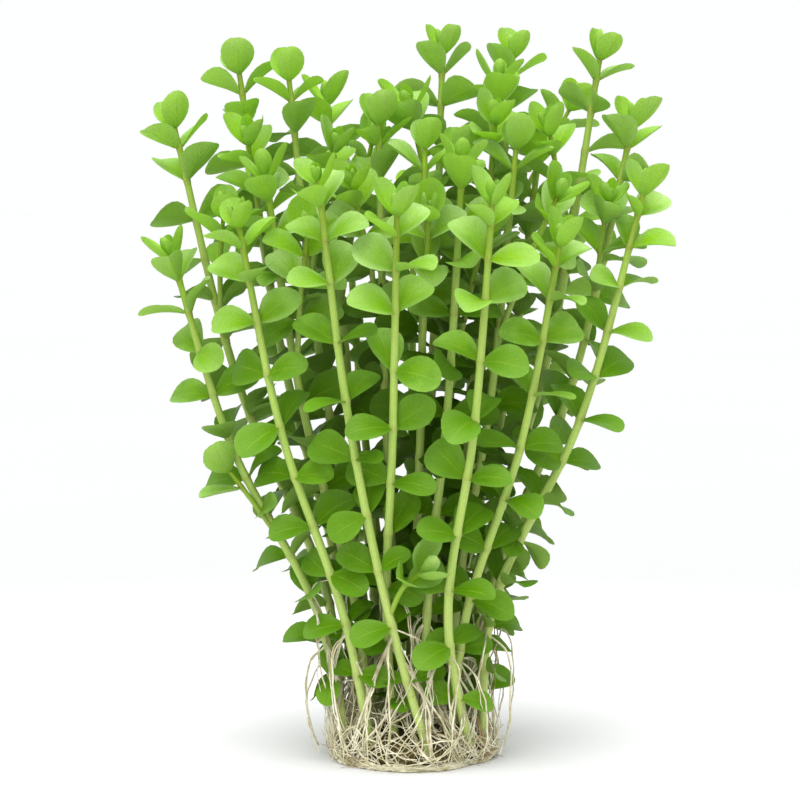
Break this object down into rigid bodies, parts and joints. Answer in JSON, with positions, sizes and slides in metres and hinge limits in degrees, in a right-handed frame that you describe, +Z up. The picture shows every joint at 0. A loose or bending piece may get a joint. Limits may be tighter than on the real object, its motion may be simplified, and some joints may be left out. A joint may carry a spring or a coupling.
{
  "type": "rooted stem plant bundle",
  "caption": "Dense upright bundle of leafy water-plant shoots with small round opposite leaves, fanning out from a felted mat of pale roots with a flat underside",
  "frame": {"origin": "middle of the root mat's flat underside, on the surface that the bundle stands on", "axes": "+Z up along the bundle, +X to the right and +Y to the back as seen from the front"},
  "size_m": [0.1547, 0.1225, 0.2159],
  "materials": {
    "shoot": "satin green leaves on a pale green stem",
    "roots": "matt felt of cream roots"
  },
  "bodies": {
    "root": {"shoot_01": "shoot", "shoot_02": "shoot", "shoot_03": "shoot", "shoot_04": "shoot", "shoot_05": "shoot", "shoot_06": "shoot", "shoot_07": "shoot", "shoot_08": "shoot", "shoot_09": "shoot", "shoot_10": "shoot", "shoot_11": "shoot", "shoot_12": "shoot", "shoot_13": "shoot", "shoot_14": "shoot", "shoot_15": "shoot", "shoot_16": "shoot", "shoot_17": "shoot", "shoot_18": "shoot", "shoot_19": "shoot", "shoot_20": "shoot", "shoot_21": "shoot", "shoot_22": "shoot", "shoot_23": "shoot", "shoot_24": "shoot", "shoot_25": "shoot", "shoot_26": "shoot", "shoot_27": "shoot", "shoot_28": "shoot", "root_mat": "roots"}
  },
  "joints": []
}
